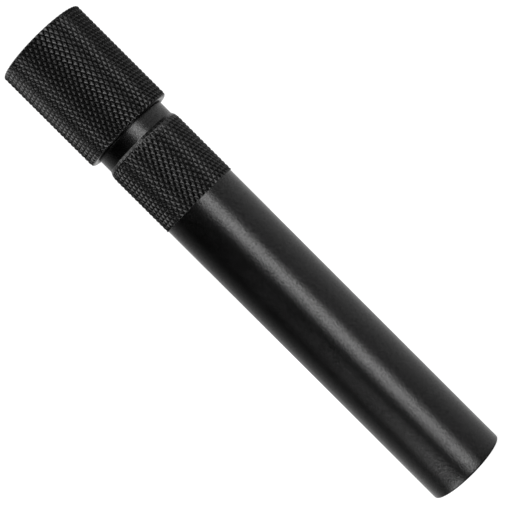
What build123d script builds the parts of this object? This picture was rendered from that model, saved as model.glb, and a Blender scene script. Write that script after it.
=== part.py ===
from build123d import *
import os

os.makedirs("parts", exist_ok=True)

# A pocket knife sharpening steel, standing on its flat tail face. Millimetres, +Z from tail to head.
# The origin is the centre of the tail face. Heights are measured from that face.

# Handle, outside
BARREL_R = 9.75
BARREL_TOP = 84.4
COLLAR_R = 10.0
COLLAR_BEVEL_BOTTOM = 100.7
COLLAR_TOP = 101.9
FLARE_R = 9.78
FLARE_TOP = 102.75
NECK_R = 9.35
NECK_TOP = 109.0
TAIL_ROUNDING = 0.4

# Handle, inside
BORE_R = 5.1
PLUG_R = 6.0
PLUG_HEIGHT = 3.0
PLUG_CHAMFER = 0.2
CUSHION_HEIGHT = 3.0
CUSHION_GAP = 0.05
SOCKET_BOTTOM = 108.0
SOCKET_BOTTOM_R = 5.6
SOCKET_TOP_R = 6.5
SPIGOT_TOP = 120.5

# Thread between handle and head: one right-hand start
PITCH = 1.5
THREAD_TURNS = 6
THREAD_ROOT_R = 7.45
THREAD_CREST_R = 8.3
THREAD_START = 110.5
THREAD_BASE_WIDTH = 1.05
THREAD_CREST_WIDTH = 0.3
THREAD_CLEARANCE = 0.1
RELIEF_R = 7.3
RELIEF_TOP = 109.9

# O-ring on the neck
RING_SECTION_R = 0.6
RING_R = 8.95
RING_Z = 107.8
RING_GROOVE_WIDTH = 1.5
RING_SQUEEZE = 0.03

# Head, which is the clamp nut
HEAD_R = 11.45
HEAD_BOTTOM = 106.3
HEAD_TOP = 134.0
HEAD_RIM_ROUNDING = 0.8
HEAD_END_ROUNDING = 0.3
MOUTH_R = 9.65
MOUTH_TOP = 109.6
MOUTH_CHAMFER = 0.4
CAVITY_TOP = 120.9
LAND_R = 7.15
LAND_TOP = 121.5
CLIP_GROOVE_R = 7.7
CONE_BOTTOM = 122.9
CONE_TOP = 128.3
CONE_TOP_R = 5.6
HEAD_HOLE_R = 4.95
COUNTERSINK = 1.0

# Collet
COLLET_BOTTOM = 108.3
COLLET_BORE_R = 4.78
COLLET_GAP = 0.05
CLIP_SEAT_BOTTOM = 121.6
CLIP_SEAT_TOP = 122.95
CLIP_SEAT_R = 5.95
COLLET_TOP = 128.2
JAW_SLOT = 0.8
JAW_SLOT_BOTTOM = 111.0

# Spring ring between collet and head
CLIP_R = 7.6
CLIP_BOTTOM = 121.65
CLIP_TOP = 122.75
CLIP_OPENING = 2.0

# Rod, stored tip down
SHANK_R = 4.75
SHANK_LENGTH = 30.0
SHANK_TOP = 133.6
SHANK_CHAMFER = 0.5
ROD_LENGTH = 127.5
ROD_HALF_WIDTH = 4.6
ROD_HALF_THICKNESS = 3.0
ROD_TIP_ROUNDING = 1.2
TANG_R = 3.0
TANG_LENGTH = 20.0
PLATING = 0.12
PLATING_TIP_MARGIN = 1.6
PLATING_ROOT_MARGIN = 0.6
PIN_R = 1.0
PIN_LENGTH = 9.2
PIN_HOLE_LENGTH = 12.0
PIN_SPACING = 10.0

SHANK_BOTTOM = SHANK_TOP - SHANK_LENGTH
ROD_TIP = SHANK_TOP - ROD_LENGTH
TANG_TOP = SHANK_BOTTOM + TANG_LENGTH
TALL = HEAD_TOP + 10.0


def turned(outline):
    """A solid turned about Z from a closed outline of (radius, height) points."""
    edges = Polyline(*[(r, 0, z) for r, z in outline], close=True)
    return revolve(make_face(edges), axis=Axis.Z)


def rod_of(radius, low, high):
    """A plain round bar on Z."""
    bar = Cylinder(radius, high - low, align=(Align.CENTER, Align.CENTER, Align.MIN))
    return Pos(0, 0, low) * bar


def oval_bar(half_width, half_thickness, low, high):
    """A bar of oval section on Z, wide along X."""
    return Pos(0, 0, low) * extrude(Ellipse(half_width, half_thickness), high - low)


def thread_ridge(base_r, base_width, crest_r, crest_width, start):
    """One helical ridge that stands on base_r and reaches to crest_r, outward or inward."""
    helix = Helix(pitch=PITCH, height=PITCH * THREAD_TURNS, radius=base_r)
    section = Polyline(
        (base_r, 0, -base_width / 2),
        (crest_r, 0, -crest_width / 2),
        (crest_r, 0, crest_width / 2),
        (base_r, 0, base_width / 2),
        close=True,
    )
    return Pos(0, 0, start) * sweep(make_face(section), path=helix, is_frenet=True)


def male_thread():
    """The ridge on the spigot, rooted a little way into its wall."""
    root_r = THREAD_ROOT_R - THREAD_CLEARANCE
    return thread_ridge(root_r, THREAD_BASE_WIDTH, THREAD_CREST_R, THREAD_CREST_WIDTH, THREAD_START)


def female_thread():
    """The ridge inside the head, half a pitch away from the spigot's, with running clearance."""
    flank = (THREAD_BASE_WIDTH - THREAD_CREST_WIDTH) / (THREAD_CREST_R - THREAD_ROOT_R)
    crest_r = THREAD_ROOT_R + THREAD_CLEARANCE
    crest_width = PITCH - THREAD_BASE_WIDTH - THREAD_CLEARANCE
    base_r = THREAD_CREST_R + 2 * THREAD_CLEARANCE
    base_width = crest_width + flank * (base_r - crest_r)
    return thread_ridge(base_r, base_width, crest_r, crest_width, THREAD_START + PITCH / 2)


def handle_body():
    """Barrel, collar, flare, neck and threaded spigot, bored for the rod and the collet."""
    body = turned([
        (0, 0),
        (BARREL_R, 0),
        (BARREL_R, BARREL_TOP),
        (COLLAR_R, BARREL_TOP),
        (COLLAR_R, COLLAR_BEVEL_BOTTOM),
        (FLARE_R, COLLAR_TOP),
        (NECK_R, FLARE_TOP),
        (NECK_R, NECK_TOP),
        (RELIEF_R, NECK_TOP),
        (RELIEF_R, RELIEF_TOP),
        (THREAD_ROOT_R, RELIEF_TOP),
        (THREAD_ROOT_R, SPIGOT_TOP),
        (0, SPIGOT_TOP),
    ])
    tail_edge = body.edges().filter_by(GeomType.CIRCLE).sort_by(Axis.Z)[0]
    body = fillet(tail_edge, TAIL_ROUNDING)
    ring_groove = turned([
        (RING_R - RING_SECTION_R, RING_Z - RING_GROOVE_WIDTH / 2),
        (NECK_R + 1, RING_Z - RING_GROOVE_WIDTH / 2),
        (NECK_R + 1, RING_Z + RING_GROOVE_WIDTH / 2),
        (RING_R - RING_SECTION_R, RING_Z + RING_GROOVE_WIDTH / 2),
    ])
    inside = turned([
        (0, -1),
        (PLUG_R, -1),
        (PLUG_R, PLUG_HEIGHT),
        (BORE_R, PLUG_HEIGHT),
        (BORE_R, SOCKET_BOTTOM),
        (SOCKET_BOTTOM_R, SOCKET_BOTTOM),
        (SOCKET_TOP_R, SPIGOT_TOP),
        (SOCKET_TOP_R, TALL),
        (0, TALL),
    ])
    return body + male_thread() - ring_groove - inside


def head_body():
    """The clamp nut: mouth, thread, clip groove, closing cone and hole for the shank."""
    outside = rod_of(HEAD_R, HEAD_BOTTOM, HEAD_TOP)
    outside = fillet(outside.edges().filter_by(GeomType.CIRCLE).sort_by(Axis.Z)[0], HEAD_RIM_ROUNDING)
    outside = fillet(outside.edges().filter_by(GeomType.CIRCLE).sort_by(Axis.Z)[-1], HEAD_END_ROUNDING)
    cavity_r = THREAD_CREST_R + THREAD_CLEARANCE
    inside = turned([
        (0, HEAD_BOTTOM - 1),
        (MOUTH_R + MOUTH_CHAMFER + 1, HEAD_BOTTOM - 1),
        (MOUTH_R, HEAD_BOTTOM + MOUTH_CHAMFER),
        (MOUTH_R, MOUTH_TOP),
        (cavity_r, MOUTH_TOP),
        (cavity_r, CAVITY_TOP),
        (LAND_R, CAVITY_TOP),
        (LAND_R, LAND_TOP),
        (CLIP_GROOVE_R, LAND_TOP),
        (CLIP_GROOVE_R, CONE_BOTTOM),
        (LAND_R, CONE_BOTTOM),
        (CONE_TOP_R, CONE_TOP),
        (HEAD_HOLE_R, CONE_TOP),
        (HEAD_HOLE_R, HEAD_TOP - COUNTERSINK),
        (HEAD_HOLE_R + COUNTERSINK + 1, HEAD_TOP + 1),
        (0, HEAD_TOP + 1),
    ])
    return outside - inside + female_thread()


def collet_body():
    """A sleeve with a long taper below, a short taper above, and four jaws cut by crossed slots."""
    socket_slope = (SOCKET_TOP_R - SOCKET_BOTTOM_R) / (SPIGOT_TOP - SOCKET_BOTTOM)
    bottom_r = SOCKET_BOTTOM_R + socket_slope * (COLLET_BOTTOM - SOCKET_BOTTOM) - COLLET_GAP
    waist_r = SOCKET_TOP_R - COLLET_GAP
    cone_slope = (LAND_R - CONE_TOP_R) / (CONE_TOP - CONE_BOTTOM)
    nose_bottom_r = LAND_R - cone_slope * (CLIP_SEAT_TOP - CONE_BOTTOM) - COLLET_GAP
    nose_top_r = CONE_TOP_R + cone_slope * (CONE_TOP - COLLET_TOP) - COLLET_GAP
    body = turned([
        (COLLET_BORE_R, COLLET_BOTTOM),
        (bottom_r, COLLET_BOTTOM),
        (waist_r, SPIGOT_TOP),
        (waist_r, CLIP_SEAT_BOTTOM),
        (CLIP_SEAT_R, CLIP_SEAT_BOTTOM),
        (CLIP_SEAT_R, CLIP_SEAT_TOP),
        (nose_bottom_r, CLIP_SEAT_TOP),
        (nose_top_r, COLLET_TOP),
        (COLLET_BORE_R, COLLET_TOP),
    ])
    slot_height = COLLET_TOP + 1 - JAW_SLOT_BOTTOM
    for length, width in ((4 * CLIP_R, JAW_SLOT), (JAW_SLOT, 4 * CLIP_R)):
        slot = Box(length, width, slot_height, align=(Align.CENTER, Align.CENTER, Align.MIN))
        body -= Pos(0, 0, JAW_SLOT_BOTTOM) * slot
    return body


def clip_ring():
    """A split spring ring in the collet's seat, caught in the head's groove."""
    ring = rod_of(CLIP_R, CLIP_BOTTOM, CLIP_TOP) - rod_of(CLIP_SEAT_R, CLIP_BOTTOM, CLIP_TOP)
    height = 4 * (CLIP_TOP - CLIP_BOTTOM)
    opening = Box(2 * CLIP_R, CLIP_OPENING, height, align=(Align.MIN, Align.CENTER, Align.CENTER))
    return ring - Pos(0, 0, CLIP_BOTTOM) * Rot(0, 0, 45) * opening


def plug_disc():
    """The disc pressed into the tail, with a fine bevel that shows as a ring on the tail face."""
    disc = rod_of(PLUG_R, 0, PLUG_HEIGHT)
    return chamfer(disc.edges().sort_by(Axis.Z)[0], PLUG_CHAMFER)


def neck_ring():
    """A rubber O-ring, squeezed a little onto the bottom of its groove."""
    ring_r = RING_R - RING_SQUEEZE
    return Pos(0, 0, RING_Z) * Torus(ring_r, RING_SECTION_R)


def cross_bars(length):
    """Two bars along Y, lower one first, where the cross pins lock the tang into the ferrule."""
    middle = (SHANK_BOTTOM + TANG_TOP) / 2
    heights = (middle - PIN_SPACING / 2, middle + PIN_SPACING / 2)
    return [Pos(0, 0, z) * Rot(90, 0, 0) * Cylinder(PIN_R, length) for z in heights]


def shank_body():
    """The round ferrule, with a blind hole below for the rod's tang."""
    bar = rod_of(SHANK_R, SHANK_BOTTOM, SHANK_TOP)
    bar = chamfer(bar.edges().filter_by(GeomType.CIRCLE), SHANK_CHAMFER)
    bar -= rod_of(TANG_R, SHANK_BOTTOM - 1, TANG_TOP)
    for hole in cross_bars(PIN_HOLE_LENGTH):
        bar -= hole
    return bar


def rod_body():
    """The oval steel core with a rounded tip below and a round tang above."""
    oval = oval_bar(ROD_HALF_WIDTH, ROD_HALF_THICKNESS, ROD_TIP, SHANK_BOTTOM)
    oval = fillet(oval.faces().sort_by(Axis.Z)[0].edges(), ROD_TIP_ROUNDING)
    body = oval + rod_of(TANG_R, SHANK_BOTTOM, TANG_TOP)
    for hole in cross_bars(PIN_HOLE_LENGTH):
        body -= hole
    return body


def plating_sleeve():
    """The diamond-coated skin over the oval core."""
    low = ROD_TIP + PLATING_TIP_MARGIN
    high = SHANK_BOTTOM - PLATING_ROOT_MARGIN
    skin = oval_bar(ROD_HALF_WIDTH + PLATING, ROD_HALF_THICKNESS + PLATING, low, high)
    return skin - oval_bar(ROD_HALF_WIDTH, ROD_HALF_THICKNESS, low, high)


nodes = {
    "handle_tube": handle_body(),
    "tail_plug": plug_disc(),
    "tip_cushion": rod_of(BORE_R - CUSHION_GAP, PLUG_HEIGHT, PLUG_HEIGHT + CUSHION_HEIGHT),
    "neck_o_ring": neck_ring(),
    "knurled_head": head_body(),
    "collet": collet_body(),
    "collet_clip": clip_ring(),
    "rod_shank": shank_body(),
    "steel_rod": rod_body(),
    "diamond_plating": plating_sleeve(),
}
for number, pin in enumerate(cross_bars(PIN_LENGTH), start=1):
    nodes[f"shank_pin_{number}"] = pin

for name, solid in nodes.items():
    export_step(solid, f"parts/{name}.step")
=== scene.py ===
import math
import bpy
import numpy as np
from mathutils import Matrix, Vector


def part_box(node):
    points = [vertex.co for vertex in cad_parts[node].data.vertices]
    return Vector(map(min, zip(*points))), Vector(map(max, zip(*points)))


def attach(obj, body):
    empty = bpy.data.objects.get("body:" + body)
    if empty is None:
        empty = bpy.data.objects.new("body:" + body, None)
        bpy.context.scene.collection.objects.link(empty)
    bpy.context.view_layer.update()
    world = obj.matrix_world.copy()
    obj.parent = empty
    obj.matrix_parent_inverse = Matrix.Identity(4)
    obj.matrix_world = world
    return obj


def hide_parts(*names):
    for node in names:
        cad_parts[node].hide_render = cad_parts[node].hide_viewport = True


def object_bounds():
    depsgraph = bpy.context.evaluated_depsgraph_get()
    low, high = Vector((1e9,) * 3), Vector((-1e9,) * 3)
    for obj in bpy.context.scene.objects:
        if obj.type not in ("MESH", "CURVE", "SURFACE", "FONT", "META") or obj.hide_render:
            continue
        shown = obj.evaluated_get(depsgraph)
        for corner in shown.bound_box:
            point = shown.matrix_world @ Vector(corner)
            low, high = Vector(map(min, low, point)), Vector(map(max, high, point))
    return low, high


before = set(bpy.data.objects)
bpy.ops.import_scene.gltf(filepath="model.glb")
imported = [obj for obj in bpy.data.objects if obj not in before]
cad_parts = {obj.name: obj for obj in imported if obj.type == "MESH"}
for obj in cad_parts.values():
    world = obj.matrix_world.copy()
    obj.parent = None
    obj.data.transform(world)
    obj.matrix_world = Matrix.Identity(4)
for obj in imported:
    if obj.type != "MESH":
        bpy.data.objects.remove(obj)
cad_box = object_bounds()

# ---------------------------------------------------------------- sizes, in metres
MM = 0.001
TINY = 0.001 * MM
HEAD_LOW, HEAD_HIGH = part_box("knurled_head")
TUBE_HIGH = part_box("handle_tube")[1]
PLUG_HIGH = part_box("tail_plug")[1]
RING_LOW, RING_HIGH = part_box("neck_o_ring")
TOP = HEAD_HIGH[2]

BARREL_R = 9.75 * MM
BARREL_TOP = 84.4 * MM
COLLAR_R = TUBE_HIGH[0]
COLLAR_BEVEL_BOTTOM = 100.7 * MM
COLLAR_TOP = 101.9 * MM
FLARE_R = 9.78 * MM
FLARE_TOP = 102.75 * MM
NECK_R = 9.35 * MM
NECK_TOP = 109.0 * MM
SPIGOT_TOP = TUBE_HIGH[2]
TAIL_ROUNDING = 0.4 * MM

BORE_R = 5.1 * MM
PLUG_R = PLUG_HIGH[0]
PLUG_TOP = PLUG_HIGH[2]
SOCKET_BOTTOM = 108.0 * MM
SOCKET_BOTTOM_R = 5.6 * MM
SOCKET_TOP_R = 6.5 * MM

PITCH = 1.5 * MM
THREAD_TURNS = 6
THREAD_ROOT_R = 7.45 * MM
THREAD_CREST_R = 8.3 * MM
THREAD_START = 110.5 * MM
THREAD_BASE_HALF = 0.35
THREAD_CREST_HALF = 0.1
THREAD_FADE = 0.35
THREAD_CLEARANCE = 0.1 * MM
RELIEF_R = 7.3 * MM
RELIEF_TOP = 109.9 * MM

RING_GROOVE_R = 8.35 * MM
RING_GROOVE_BOTTOM = 107.05 * MM
RING_GROOVE_TOP = 108.55 * MM

HEAD_R = HEAD_HIGH[0]
HEAD_BOTTOM = HEAD_LOW[2]
HEAD_RIM_ROUNDING = 0.8 * MM
HEAD_END_ROUNDING = 0.3 * MM
MOUTH_R = 9.65 * MM
MOUTH_TOP = 109.6 * MM
MOUTH_CHAMFER = 0.4 * MM
CAVITY_TOP = 120.9 * MM
LAND_R = 7.15 * MM
LAND_TOP = 121.5 * MM
CLIP_GROOVE_R = 7.7 * MM
CONE_BOTTOM = 122.9 * MM
CONE_TOP = 128.3 * MM
CONE_TOP_R = 5.6 * MM
HEAD_HOLE_R = 4.95 * MM
COUNTERSINK = 1.0 * MM

# Knurl: crossed grooves at 30 degrees to the axis. STEPS is the mesh columns of every tooth.
HEAD_TEETH = 57
COLLAR_TEETH = 49
STEPS = 10
GROOVE_ANGLE = math.radians(30)
HEAD_KNURL_DEPTH = 0.38 * MM
COLLAR_KNURL_DEPTH = 0.32 * MM
CREST_TO_GROOVE = [0, 0.2, 1]
KNURL_SHAPE = [0, 0.05, 1]
# The hidden inside needs only one column for every so many outside.
INSIDE_HEAD_SHARE = 5
INSIDE_HANDLE_SHARE = 2


# ---------------------------------------------------------------- outlines
def rounded(points, segments=4):
    """An outline of (radius, height) from corners (radius, height, rounding), with arcs at corners."""
    outline = []
    count = len(points)
    for i, (r, z, rounding) in enumerate(points):
        corner = Vector((r, z))
        if rounding == 0:
            outline.append((r, z))
            continue
        before = (Vector(points[i - 1][:2]) - corner).normalized()
        after = (Vector(points[(i + 1) % count][:2]) - corner).normalized()
        half = before.angle(after) / 2
        middle = (before + after).normalized()
        centre = corner + middle * (rounding / math.sin(half))
        swing = math.pi / 2 - half
        side = 1 if before.x * after.y - before.y * after.x > 0 else -1
        for k in range(segments + 1):
            turn = side * swing * (1 - 2 * k / segments)
            spoke = Matrix.Rotation(turn, 2) @ -middle
            outline.append(tuple(centre + spoke * rounding))
    return outline


def end_rounding(away, rounding):
    """How far a rounded edge has drawn the surface in, at a distance from the end."""
    left = max(rounding - away, 0)
    return rounding - math.sqrt(max(rounding**2 - left**2, 0))


def along(low, high, count):
    """Heights from low to high, both ends included."""
    return [low + (high - low) * k / count for k in range(count + 1)]


# ---------------------------------------------------------------- height fields round the axis
def wheel(columns):
    """The angle of every mesh column."""
    return np.arange(columns) * (2 * math.pi / columns)


def groove_rows(low, high, teeth, radius):
    """Heights of the mesh rows that fit the knurl, and the row number where the pattern starts."""
    tooth = 2 * math.pi * radius / teeth
    period = tooth / math.tan(GROOVE_ANGLE)
    step = period / STEPS
    count = int((high - low) / step)
    first = high - count * step
    return [first + k * step for k in range(count + 1)], period


def knurl_cut(columns, z, start, period):
    """How deep the knurl is along one row, 0 to 1: blunt pyramids between crossed V grooves."""
    turn = np.arange(columns) / STEPS
    rise = (z - start) / period
    first = 1 - 2 * np.abs((turn + rise + 0.5) % 1 - 0.5)
    second = 1 - 2 * np.abs((turn - rise + 0.5) % 1 - 0.5)
    return np.interp(np.maximum(first, second), CREST_TO_GROOVE, KNURL_SHAPE)


def thread_height(columns, z, start, turns, offset, base_half, crest_half):
    """How far the thread stands up along one row, from 0 at the root to 1 at the crest."""
    phase = (z - start - offset * PITCH) / PITCH - np.arange(columns) / columns
    away = np.abs((phase + 0.5) % 1 - 0.5)
    height = np.clip((base_half - away) / (base_half - crest_half), 0, 1)
    turn = np.round(phase) + np.arange(columns) / columns
    fade_in = np.clip(turn / THREAD_FADE, 0, 1)
    fade_out = np.clip((turns - turn) / THREAD_FADE, 0, 1)
    return height * fade_in * fade_out


# ---------------------------------------------------------------- skins
class Skin:
    """Rings of vertices round the axis, joined into one closed surface."""

    def __init__(self, columns):
        self.columns = columns
        self.rings = []
        self.patterns = []
        self.grooves = []

    def ring(self, radius, z, pattern=None, groove=0.0):
        """Adds a ring. A pattern number says which diagonal its faces to the next ring take."""
        self.rings.append((np.broadcast_to(np.asarray(radius, float), (self.columns,)), z))
        self.patterns.append(pattern)
        self.grooves.append(np.broadcast_to(np.asarray(groove, float), (self.columns,)))

    def outline(self, points):
        """Adds a plain ring for every (radius, height)."""
        for r, z in points:
            self.ring(r, z)

    def strip(self, k, starts):
        """The faces from one ring to the next, which may have fewer or more columns."""
        after = (k + 1) % len(self.rings)
        count, next_count = len(self.rings[k][0]), len(self.rings[after][0])
        low, high = starts[k], starts[after]
        if count == next_count:
            here = np.arange(count)
            beside = (here + 1) % count
            a, b, c, d = low + here, low + beside, high + beside, high + here
            if self.patterns[k] is None:
                return [np.stack([a, b, c, d], axis=1)]
            leaning = (here // (STEPS // 2) + self.patterns[k]) % 2 == 0
            one = np.where(leaning[:, None], np.stack([a, b, c], 1), np.stack([a, b, d], 1))
            two = np.where(leaning[:, None], np.stack([a, c, d], 1), np.stack([b, c, d], 1))
            return [one, two]
        few, many = min(count, next_count), max(count, next_count)
        share = many // few
        wide = np.arange(few)
        fine = (wide[:, None] * share + np.arange(share + 1)) % many
        if count > next_count:
            return [np.column_stack([low + fine, high + (wide + 1) % few, high + wide])]
        return [np.column_stack([low + wide, low + (wide + 1) % few, high + fine[:, ::-1]])]

    def build(self, name, sharp=30):
        """Closes the skin into a mesh object, smooth except at edges sharper than an angle in degrees."""
        starts = np.cumsum([0] + [len(radius) for radius, z in self.rings])
        verts = []
        faces = []
        for k, (radius, z) in enumerate(self.rings):
            angle = wheel(len(radius))
            heights = np.full(len(radius), z)
            verts.append(np.column_stack([radius * np.cos(angle), radius * np.sin(angle), heights]))
            faces.extend(self.strip(k, starts))
        polygons = [tuple(int(i) for i in face) for block in faces for face in block]
        mesh = bpy.data.meshes.new(name)
        mesh.from_pydata(np.concatenate(verts).tolist(), [], polygons)
        mesh.validate()
        mesh.polygons.foreach_set("use_smooth", [True] * len(mesh.polygons))
        mesh.set_sharp_from_angle(angle=math.radians(sharp))
        depth = mesh.attributes.new("groove", "FLOAT", "POINT")
        depth.data.foreach_set("value", np.concatenate(self.grooves).astype(np.float32))
        mesh.update()
        piece = bpy.data.objects.new(name, mesh)
        bpy.context.scene.collection.objects.link(piece)
        return piece


def knurled_rings(skin, low, high, teeth, crest, depth, profile):
    """Adds the rings of a knurled stretch, cut back wherever the turned profile is smaller."""
    heights, period = groove_rows(low, high, teeth, crest)
    start = heights[0]
    if low < start - TINY:
        heights.insert(0, low)
    for z in heights:
        cut = knurl_cut(skin.columns, z, start, period)
        radius = np.minimum(crest - depth * cut, profile(z))
        row = round((z - start) / (period / STEPS))
        pattern = max(row, 0) // (STEPS // 2) if z < high - TINY else None
        skin.ring(radius, z, pattern, np.clip((profile(z) - radius) / depth, 0, 1))


def handle_skin():
    """The handle: barrel, knurled collar, flare, neck, threaded spigot, socket and bore."""
    skin = Skin(COLLAR_TEETH * STEPS)
    skin.outline(rounded([
        (PLUG_R, 0, 0.1 * MM),
        (BARREL_R, 0, TAIL_ROUNDING),
        (BARREL_R, 2 * MM, 0),
    ], segments=6)[:-1])
    for z in along(2 * MM, BARREL_TOP - 0.2 * MM, 16):
        skin.ring(BARREL_R, z)
    # Two close rings keep the barrel's shading apart from the collar's grooves.
    skin.ring(BARREL_R, BARREL_TOP - 0.1 * MM)
    skin.ring(BARREL_R, BARREL_TOP - 0.02 * MM)

    turned_z = [BARREL_TOP, COLLAR_BEVEL_BOTTOM, COLLAR_TOP, FLARE_TOP]
    turned_r = [COLLAR_R, COLLAR_R, FLARE_R, NECK_R]

    def collar_profile(z):
        """The turned radius under the collar's knurl."""
        return float(np.interp(z, turned_z, turned_r))

    knurled_rings(skin, BARREL_TOP, COLLAR_TOP + 0.1 * MM, COLLAR_TEETH, COLLAR_R,
                  COLLAR_KNURL_DEPTH, collar_profile)
    skin.outline(rounded([
        (collar_profile(COLLAR_TOP + 0.2 * MM), COLLAR_TOP + 0.2 * MM, 0),
        (NECK_R, FLARE_TOP, 0.1 * MM),
        (NECK_R, RING_GROOVE_BOTTOM, 0.1 * MM),
        (RING_GROOVE_R, RING_GROOVE_BOTTOM, 0.1 * MM),
        (RING_GROOVE_R, RING_GROOVE_TOP, 0.1 * MM),
        (NECK_R, RING_GROOVE_TOP, 0.05 * MM),
        (NECK_R, NECK_TOP, 0.15 * MM),
        (RELIEF_R + 0.5 * MM, NECK_TOP, 0),
    ]))
    skin.columns //= INSIDE_HANDLE_SHARE
    skin.outline(rounded([
        (RELIEF_R + 0.4 * MM, NECK_TOP, 0),
        (RELIEF_R, NECK_TOP, 0.2 * MM),
        (RELIEF_R, RELIEF_TOP, 0),
    ]))
    for z in along(RELIEF_TOP + 0.15 * MM, SPIGOT_TOP - 0.3 * MM, 90):
        stand = thread_height(skin.columns, z, THREAD_START, THREAD_TURNS, 0,
                              THREAD_BASE_HALF, THREAD_CREST_HALF)
        skin.ring(THREAD_ROOT_R + (THREAD_CREST_R - THREAD_ROOT_R) * stand, z)
    skin.outline(rounded([
        (THREAD_ROOT_R - 0.3 * MM, SPIGOT_TOP, 0),
        (SOCKET_TOP_R, SPIGOT_TOP, 0.15 * MM),
        (SOCKET_BOTTOM_R, SOCKET_BOTTOM, 0),
        (BORE_R, SOCKET_BOTTOM, 0.1 * MM),
        (BORE_R, PLUG_TOP, 0),
        (PLUG_R, PLUG_TOP, 0),
        (PLUG_R, 0.4 * MM, 0),
    ]))
    return skin.build("handle_body")


def head_skin():
    """The clamp nut: knurled outside, countersunk hole, cone, clip groove, thread and mouth."""
    skin = Skin(HEAD_TEETH * STEPS)

    def head_profile(z):
        """The turned radius under the head's knurl, with both rounded ends."""
        rim = end_rounding(z - HEAD_BOTTOM, HEAD_RIM_ROUNDING)
        return HEAD_R - max(rim, end_rounding(TOP - z, HEAD_END_ROUNDING))

    skin.outline(rounded([
        (MOUTH_R, HEAD_BOTTOM + 1.5 * MM, 0),
        (MOUTH_R, HEAD_BOTTOM + MOUTH_CHAMFER, 0.1 * MM),
        (MOUTH_R + MOUTH_CHAMFER, HEAD_BOTTOM, 0.1 * MM),
        (HEAD_R - HEAD_RIM_ROUNDING, HEAD_BOTTOM, 0),
    ], segments=3)[1:])
    bare = HEAD_RIM_ROUNDING - HEAD_KNURL_DEPTH
    plain = HEAD_RIM_ROUNDING - math.sqrt(HEAD_RIM_ROUNDING**2 - bare**2)
    for k in range(1, 6):
        z = HEAD_BOTTOM + plain * (k / 6) ** 2
        skin.ring(head_profile(z), z)
    knurled_rings(skin, HEAD_BOTTOM + plain, TOP - 0.02 * MM, HEAD_TEETH, HEAD_R,
                  HEAD_KNURL_DEPTH, head_profile)
    skin.ring(HEAD_R - 0.75 * MM, TOP)
    skin.columns //= INSIDE_HEAD_SHARE
    cavity_r = THREAD_CREST_R + THREAD_CLEARANCE
    skin.outline(rounded([
        (HEAD_R - 1.0 * MM, TOP, 0),
        (HEAD_HOLE_R + COUNTERSINK, TOP, 0.12 * MM),
        (HEAD_HOLE_R, TOP - COUNTERSINK, 0.12 * MM),
        (HEAD_HOLE_R, CONE_TOP, 0.1 * MM),
        (CONE_TOP_R, CONE_TOP, 0),
        (LAND_R, CONE_BOTTOM, 0.05 * MM),
        (CLIP_GROOVE_R, CONE_BOTTOM, 0),
        (CLIP_GROOVE_R, LAND_TOP, 0),
        (LAND_R, LAND_TOP, 0.05 * MM),
        (LAND_R, CAVITY_TOP, 0.05 * MM),
        (cavity_r, CAVITY_TOP, 0),
    ]))
    female_half = 0.5 - THREAD_CREST_HALF - 0.07
    crest_half = 0.5 - THREAD_BASE_HALF - 0.07
    for z in reversed(along(MOUTH_TOP + 0.3 * MM, CAVITY_TOP - 0.3 * MM, 60)):
        stand = thread_height(skin.columns, z, THREAD_START, THREAD_TURNS, 0.5,
                              female_half, crest_half)
        skin.ring(cavity_r - (cavity_r - THREAD_ROOT_R - THREAD_CLEARANCE) * stand, z)
    skin.ring(cavity_r, MOUTH_TOP)
    skin.ring(MOUTH_R, MOUTH_TOP)
    return skin.build("knurled_head_skin")


def o_ring_skin():
    """The rubber ring on the neck, with the fine parting line of its mould round the outside."""
    skin = Skin(192)
    section = (RING_HIGH[2] - RING_LOW[2]) / 2
    middle_r = RING_HIGH[0] - section
    middle_z = (RING_HIGH[2] + RING_LOW[2]) / 2
    steps = 40
    for k in range(steps):
        turn = -2 * math.pi * k / steps
        flash = 0.02 * MM if k == 0 else 0
        skin.ring(middle_r + (section - 0.02 * MM + flash) * math.cos(turn),
                  middle_z + section * math.sin(turn))
    return skin.build("neck_seal", sharp=40)


# ---------------------------------------------------------------- materials
def new_material(name, color, metallic, roughness, ior=1.5):
    """A Principled material with its constants on the shader's own sockets."""
    material = bpy.data.materials.new(name)
    material.use_nodes = True
    nodes = material.node_tree.nodes
    shader = nodes["Principled BSDF"]
    shader.inputs["Base Color"].default_value = (*color, 1)
    shader.inputs["Metallic"].default_value = metallic
    shader.inputs["Roughness"].default_value = roughness
    shader.inputs["IOR"].default_value = ior
    return material, material.node_tree, shader


def noise(tree, scale, detail=2.0, roughness=0.5, stretch=(1, 1, 1)):
    """Object-space noise, stretched along the axes."""
    coords = tree.nodes.new("ShaderNodeTexCoord")
    mapping = tree.nodes.new("ShaderNodeMapping")
    texture = tree.nodes.new("ShaderNodeTexNoise")
    mapping.inputs["Scale"].default_value = stretch
    texture.inputs["Scale"].default_value = scale
    texture.inputs["Detail"].default_value = detail
    texture.inputs["Roughness"].default_value = roughness
    tree.links.new(coords.outputs["Object"], mapping.inputs["Vector"])
    tree.links.new(mapping.outputs["Vector"], texture.inputs["Vector"])
    return texture.outputs["Fac"]


def remap(tree, value, low, high, to_low, to_high):
    """A straight run from one range to another, held at both ends."""
    node = tree.nodes.new("ShaderNodeMapRange")
    node.inputs["From Min"].default_value = low
    node.inputs["From Max"].default_value = high
    node.inputs["To Min"].default_value = to_low
    node.inputs["To Max"].default_value = to_high
    tree.links.new(value, node.inputs["Value"])
    return node.outputs["Result"]


def combine(tree, operation, *inputs):
    """One step of arithmetic on sockets or numbers."""
    node = tree.nodes.new("ShaderNodeMath")
    node.operation = operation
    for k, value in enumerate(inputs):
        if isinstance(value, (int, float)):
            node.inputs[k].default_value = value
        else:
            tree.links.new(value, node.inputs[k])
    return node.outputs["Value"]


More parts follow.
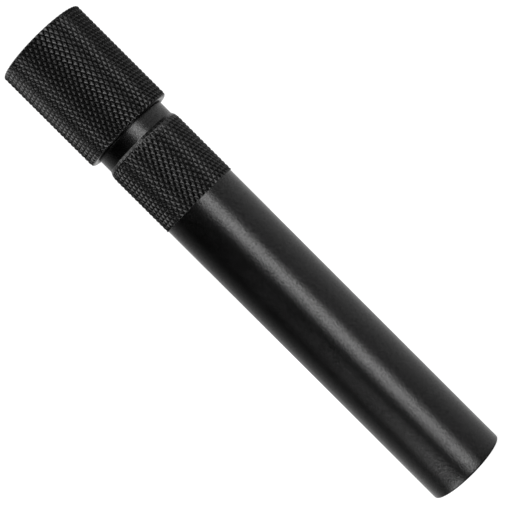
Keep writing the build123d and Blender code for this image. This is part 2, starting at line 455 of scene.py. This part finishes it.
def bump(tree, height, strength, distance, normal=None):
    """Fine relief from a height, laid over an earlier normal if there is one."""
    node = tree.nodes.new("ShaderNodeBump")
    node.inputs["Strength"].default_value = strength
    node.inputs["Distance"].default_value = distance
    tree.links.new(height, node.inputs["Height"])
    if normal is not None:
        tree.links.new(normal, node.inputs["Normal"])
    return node.outputs["Normal"]


def blend_colors(tree, factor, first, second):
    """A colour between two others."""
    node = tree.nodes.new("ShaderNodeMix")
    node.data_type = "RGBA"
    node.inputs["A"].default_value = (*first, 1)
    node.inputs["B"].default_value = (*second, 1)
    tree.links.new(factor, node.inputs["Factor"])
    return node.outputs["Result"]


def turning_lay(tree, scale):
    """Noise along radius and height only: the fine rings that a lathe tool leaves."""
    coords = tree.nodes.new("ShaderNodeTexCoord")
    flat = tree.nodes.new("ShaderNodeVectorMath")
    flat.operation = "MULTIPLY"
    flat.inputs[1].default_value = (1, 1, 0)
    length = tree.nodes.new("ShaderNodeVectorMath")
    length.operation = "LENGTH"
    split = tree.nodes.new("ShaderNodeSeparateXYZ")
    join = tree.nodes.new("ShaderNodeCombineXYZ")
    texture = tree.nodes.new("ShaderNodeTexNoise")
    texture.inputs["Scale"].default_value = scale
    texture.inputs["Detail"].default_value = 4.0
    tree.links.new(coords.outputs["Object"], flat.inputs[0])
    tree.links.new(flat.outputs["Vector"], length.inputs[0])
    tree.links.new(coords.outputs["Object"], split.inputs["Vector"])
    tree.links.new(length.outputs["Value"], join.inputs["X"])
    tree.links.new(split.outputs["Z"], join.inputs["Z"])
    tree.links.new(join.outputs["Vector"], texture.inputs["Vector"])
    return texture.outputs["Fac"]


def anodised(name, base_roughness):
    """Satin black anodised aluminium: matte grain over fine turning lines, with painted shade in the
    grooves (less specular towards the groove bottoms) and rougher groove bottoms.
    """
    material, tree, shader = new_material(name, (0.0008, 0.0008, 0.0008), 0.0, base_roughness, ior=1.42)
    grain = noise(tree, 2700, detail=2, roughness=0.7)
    cloud = noise(tree, 160, detail=3)
    groove = tree.nodes.new("ShaderNodeAttribute")
    groove.attribute_name = "groove"
    rough = remap(tree, cloud, 0.3, 0.7, base_roughness - 0.02, base_roughness + 0.02)
    dull = remap(tree, groove.outputs["Fac"], 0.7, 1.0, 0.0, 0.1)
    tree.links.new(combine(tree, "ADD", rough, dull), shader.inputs["Roughness"])
    # Painted shade: the specular level falls towards the bottoms of the knurl grooves, so the pits render
    # darker than their lighting alone makes them.
    painted_groove_shade = remap(tree, groove.outputs["Fac"], 0.5, 0.95, 0.5, 0.11)
    sparkle = remap(tree, grain, 0.3, 0.7, 0.5, 1.5)
    tree.links.new(combine(tree, "MULTIPLY", painted_groove_shade, sparkle), shader.inputs["Specular IOR Level"])
    color = blend_colors(tree, cloud, (0.0005, 0.0005, 0.0005), (0.0011, 0.0011, 0.0011))
    tree.links.new(color, shader.inputs["Base Color"])
    normal = bump(tree, grain, 0.8, 0.00005)
    normal = bump(tree, turning_lay(tree, 6500), 0.3, 0.00001, normal)
    tree.links.new(normal, shader.inputs["Normal"])
    return material


def rubber(name, shade):
    """Moulded black rubber with a dusty bloom."""
    material, tree, shader = new_material(name, (shade, shade, shade), 0.0, 0.6, ior=1.5)
    bloom = noise(tree, 700, detail=5, roughness=0.65)
    color = blend_colors(tree, remap(tree, bloom, 0.4, 0.75, 0, 1),
                         (shade, shade, shade), (shade * 2.2, shade * 2.2, shade * 2.1))
    tree.links.new(color, shader.inputs["Base Color"])
    tree.links.new(remap(tree, bloom, 0.3, 0.7, 0.5, 0.75), shader.inputs["Roughness"])
    tree.links.new(bump(tree, noise(tree, 9000, detail=2), 0.4, 0.00001), shader.inputs["Normal"])
    return material


def turned_steel(name, dark, light, roughness, lay_scale=5000):
    """Machined steel: turning rings, smears of handling and a slight change of tone."""
    material, tree, shader = new_material(name, light, 1.0, roughness)
    lay = turning_lay(tree, lay_scale)
    smear = noise(tree, 240, detail=5, roughness=0.6)
    color = blend_colors(tree, remap(tree, smear, 0.35, 0.7, 0, 1), light, dark)
    tree.links.new(color, shader.inputs["Base Color"])
    tree.links.new(remap(tree, lay, 0.3, 0.7, roughness - 0.07, roughness + 0.09),
                   shader.inputs["Roughness"])
    normal = bump(tree, lay, 0.35, 0.00001)
    tree.links.new(bump(tree, smear, 0.1, 0.00002, normal), shader.inputs["Normal"])
    return material


def drawn_steel(name):
    """The rod's core: drawn oval bar, brushed along its length."""
    material, tree, shader = new_material(name, (0.5, 0.5, 0.51), 1.0, 0.3)
    brush = noise(tree, 1, detail=4, roughness=0.6, stretch=(7000, 7000, 120))
    tree.links.new(blend_colors(tree, brush, (0.4, 0.4, 0.41), (0.58, 0.58, 0.59)),
                   shader.inputs["Base Color"])
    tree.links.new(remap(tree, brush, 0.3, 0.7, 0.24, 0.38), shader.inputs["Roughness"])
    tree.links.new(bump(tree, brush, 0.35, 0.00001), shader.inputs["Normal"])
    return material


def diamond_grit(name):
    """Diamond grains held in nickel: every grain has its own tilt and tone, so the surface glitters."""
    material, tree, shader = new_material(name, (0.3, 0.3, 0.31), 0.85, 0.4, ior=1.9)
    coords = tree.nodes.new("ShaderNodeTexCoord")
    cells = tree.nodes.new("ShaderNodeTexVoronoi")
    cells.inputs["Scale"].default_value = 4800
    tree.links.new(coords.outputs["Object"], cells.inputs["Vector"])
    tone = tree.nodes.new("ShaderNodeSeparateColor")
    tree.links.new(cells.outputs["Color"], tone.inputs["Color"])
    patch = noise(tree, 300, detail=3)
    grain_color = blend_colors(tree, tone.outputs["Red"], (0.06, 0.06, 0.063), (0.55, 0.55, 0.56))
    worn = tree.nodes.new("ShaderNodeMix")
    worn.data_type = "RGBA"
    worn.inputs["B"].default_value = (0.3, 0.3, 0.31, 1)
    tree.links.new(remap(tree, patch, 0.45, 0.8, 0.0, 0.5), worn.inputs["Factor"])
    tree.links.new(grain_color, worn.inputs["A"])
    tree.links.new(worn.outputs["Result"], shader.inputs["Base Color"])
    tree.links.new(remap(tree, tone.outputs["Green"], 0, 1, 0.22, 0.6), shader.inputs["Roughness"])
    height = remap(tree, cells.outputs["Distance"], 0, 0.7, 1, 0)
    normal = bump(tree, height, 0.8, 0.00005)
    tree.links.new(bump(tree, tone.outputs["Blue"], 0.3, 0.00003, normal), shader.inputs["Normal"])
    return material


def dress(piece, material):
    """Gives a piece its one material."""
    piece.data.materials.clear()
    piece.data.materials.append(material)


# ---------------------------------------------------------------- studio
# Azimuth runs in degrees from the camera's side towards +X, elevation is positive towards the head.
def fade(tree, value, dark, full):
    """0 at one angle, 1 at the other, with soft ends."""
    node = tree.nodes.new("ShaderNodeMapRange")
    node.interpolation_type = "SMOOTHSTEP"
    node.inputs["From Min"].default_value = dark
    node.inputs["From Max"].default_value = full
    tree.links.new(value, node.inputs["Value"])
    return node.outputs["Result"]


def surroundings(tree, azimuth):
    """White behind and on the right, a dark card on the left, as a level for every azimuth."""
    position = remap(tree, azimuth, -180, 180, 0, 1)
    ramp = tree.nodes.new("ShaderNodeValToRGB")
    stops = [(-180, 0.66), (-140, 0.57), (-112, 0.3), (-84, 0.004), (-40, 0.004),
             (25, 0.42), (60, 0.62), (100, 0.9), (180, 0.7)]
    elements = ramp.color_ramp.elements
    while len(elements) < len(stops):
        elements.new(0.5)
    for element, (angle, level) in zip(elements, stops):
        element.position = (angle + 180) / 360
        element.color = (level, level, level, 1)
    tree.links.new(position, ramp.inputs["Fac"])
    return ramp.outputs["Color"]


def strip_light(tree, azimuth, elevation):
    """The tall strip a little right of the camera. It bends to the left and fades far up and down."""
    below = combine(tree, "MINIMUM", elevation, 0.0)
    above = combine(tree, "MAXIMUM", elevation, 0.0)
    low_bend = combine(tree, "MULTIPLY", combine(tree, "MULTIPLY", below, below), -0.02)
    high_bend = combine(tree, "MULTIPLY", combine(tree, "MULTIPLY", above, above), -0.008)
    centre = combine(tree, "ADD", combine(tree, "ADD", low_bend, high_bend), 17.5)
    offset = combine(tree, "SUBTRACT", azimuth, centre)
    narrower = combine(tree, "MULTIPLY", offset, remap(tree, elevation, 8, 30, 1.0, 1.4))
    across = combine(tree, "MULTIPLY", fade(tree, narrower, -25, -4), fade(tree, offset, 19, 5))
    upper = remap(tree, elevation, 8, 35, 1.0, 0.75)
    lower = remap(tree, elevation, -14, -28, 1.0, 0.0)
    strength = combine(tree, "MULTIPLY", combine(tree, "MULTIPLY", upper, lower), 6.6)
    return combine(tree, "MULTIPLY", across, strength)


def height_shade(tree, azimuth, elevation):
    """What height does to the surroundings: dim below; brighter, then black, up on the right."""
    dim = remap(tree, elevation, -14, -34, 1.0, 0.1)
    right = combine(tree, "MULTIPLY", fade(tree, azimuth, -5, 10), fade(tree, azimuth, 140, 115))
    edge = remap(tree, azimuth, 40, 120, 49, 28)
    over = combine(tree, "SUBTRACT", elevation, edge)
    black = combine(tree, "MULTIPLY", right, fade(tree, over, -7, -1))
    left_over = combine(tree, "SUBTRACT", 1.0, combine(tree, "MULTIPLY", black, 0.95))
    side = combine(tree, "MULTIPLY", fade(tree, azimuth, 0, 30), fade(tree, azimuth, 95, 65))
    glow = combine(tree, "MULTIPLY", side, fade(tree, elevation, 8, 32))
    gain = combine(tree, "ADD", combine(tree, "MULTIPLY", glow, 1.6), 1.0)
    return combine(tree, "MULTIPLY", combine(tree, "MULTIPLY", dim, left_over), gain)


def high_card(tree, azimuth, elevation):
    """A bright card far up on the left."""
    across = combine(tree, "MULTIPLY", fade(tree, azimuth, -8, -22), fade(tree, azimuth, -150, -110))
    over = combine(tree, "SUBTRACT", elevation, remap(tree, azimuth, -20, -110, 48, 40))
    reach = combine(tree, "MULTIPLY", fade(tree, over, -6, 2), remap(tree, azimuth, -30, -75, 2.4, 4.0))
    return combine(tree, "MULTIPLY", across, reach)


def low_card(tree, azimuth, elevation):
    """A bright card below on the left, and its paler spill further round."""
    across = combine(tree, "MULTIPLY", fade(tree, azimuth, -20, -44), fade(tree, azimuth, -90, -62))
    reach = combine(tree, "MULTIPLY", fade(tree, elevation, -12, -20),
                    remap(tree, elevation, -22, -38, 6.8, 1.4))
    card = combine(tree, "MULTIPLY", across, reach)
    spill = combine(tree, "MULTIPLY", fade(tree, azimuth, -70, -100), fade(tree, elevation, -1, -12))
    return combine(tree, "ADD", card, combine(tree, "MULTIPLY", spill, 0.25))


def studio():
    """Soft white surroundings with a tall strip light in front, a dark card and a low bright card."""
    world = bpy.data.worlds.new("studio")
    bpy.context.scene.world = world
    world.use_nodes = True
    tree = world.node_tree
    tree.nodes.clear()
    coords = tree.nodes.new("ShaderNodeTexCoord")
    split = tree.nodes.new("ShaderNodeSeparateXYZ")
    tree.links.new(coords.outputs["Generated"], split.inputs["Vector"])
    ahead = combine(tree, "MULTIPLY", split.outputs["Y"], -1.0)
    azimuth = combine(tree, "DEGREES", combine(tree, "ARCTAN2", split.outputs["X"], ahead))
    elevation = combine(tree, "DEGREES", combine(tree, "ARCSINE", split.outputs["Z"]))
    shaded = combine(tree, "MULTIPLY", surroundings(tree, azimuth),
                     height_shade(tree, azimuth, elevation))
    cards = combine(tree, "ADD", low_card(tree, azimuth, elevation),
                    high_card(tree, azimuth, elevation))
    lights = combine(tree, "ADD", strip_light(tree, azimuth, elevation), cards)
    total = combine(tree, "ADD", shaded, lights)

    lit = tree.nodes.new("ShaderNodeBackground")
    lit.inputs["Color"].default_value = (1, 1, 1, 1)
    tree.links.new(total, lit.inputs["Strength"])
    seen = tree.nodes.new("ShaderNodeBackground")
    seen.inputs["Color"].default_value = (1, 1, 1, 1)
    seen.inputs["Strength"].default_value = 1.1
    path = tree.nodes.new("ShaderNodeLightPath")
    choose = tree.nodes.new("ShaderNodeMixShader")
    output = tree.nodes.new("ShaderNodeOutputWorld")
    tree.links.new(path.outputs["Is Camera Ray"], choose.inputs["Fac"])
    tree.links.new(lit.outputs["Background"], choose.inputs[1])
    tree.links.new(seen.outputs["Background"], choose.inputs[2])
    tree.links.new(choose.outputs["Shader"], output.inputs["Surface"])


def floor():
    """A large pale floor under the tail."""
    bpy.ops.mesh.primitive_circle_add(vertices=96, radius=6, fill_type="NGON", location=(0, 0, -0.02 * MM))
    disc = bpy.context.object
    disc.name = "floor"
    material, tree, shader = new_material("pale_floor", (0.35, 0.35, 0.35), 0.0, 0.9)
    shader.inputs["Specular IOR Level"].default_value = 0.0
    shader.inputs["Emission Color"].default_value = (1, 1, 1, 1)
    shader.inputs["Emission Strength"].default_value = 0.8
    dress(disc, material)
    disc.visible_glossy = False


def camera():
    """Nearly level with the middle of the steel, rolled so that the head points to the upper left."""
    middle = (cad_box[0] + cad_box[1]) / 2
    aim = middle + Vector((0.165 * MM, 0, 0.11 * MM))
    distance = 0.3475
    rise = math.radians(1.5)
    data = bpy.data.cameras.new("camera")
    data.lens = 110.04
    data.clip_start = 0.01
    data.clip_end = 20
    cam = bpy.data.objects.new("camera", data)
    bpy.context.scene.collection.objects.link(cam)
    look = Matrix.Rotation(math.radians(90) - rise, 4, "X")
    roll = Matrix.Rotation(math.radians(-45.05), 4, "Z")
    away = Vector((0, -math.cos(rise), math.sin(rise))) * distance
    cam.matrix_world = Matrix.Translation(aim + away) @ look @ roll
    bpy.context.scene.camera = cam


# ---------------------------------------------------------------- assembly
handle = handle_skin()
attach(handle, "handle")
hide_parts("handle_tube")
dress(handle, anodised("handle_anodised_satin", 0.24))

head = head_skin()
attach(head, "head")
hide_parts("knurled_head")
dress(head, anodised("head_anodised_satin", 0.18))

seal = o_ring_skin()
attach(seal, "handle")
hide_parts("neck_o_ring")
dress(seal, rubber("seal_rubber", 0.012))

pin_steel = turned_steel("ground_pin_steel", (0.5, 0.5, 0.5), (0.66, 0.66, 0.67), 0.25, 9000)
plain_nodes = {
    "tail_plug": anodised("plug_anodised_satin", 0.3),
    "tip_cushion": rubber("cushion_rubber", 0.02),
    "collet": turned_steel("hardened_collet_steel", (0.2, 0.19, 0.18), (0.42, 0.41, 0.4), 0.32),
    "collet_clip": turned_steel("spring_steel", (0.1, 0.11, 0.14), (0.26, 0.27, 0.3), 0.3),
    "rod_shank": turned_steel("turned_shank_steel", (0.27, 0.27, 0.28), (0.4, 0.4, 0.41), 0.36),
    "steel_rod": drawn_steel("drawn_rod_steel"),
    "diamond_plating": diamond_grit("diamond_grit_in_nickel"),
    "shank_pin_1": pin_steel,
    "shank_pin_2": pin_steel,
}
for node, material in plain_nodes.items():
    dress(bpy.data.objects[node], material)

studio()
floor()
camera()
bpy.context.scene.view_settings.view_transform = "Standard"
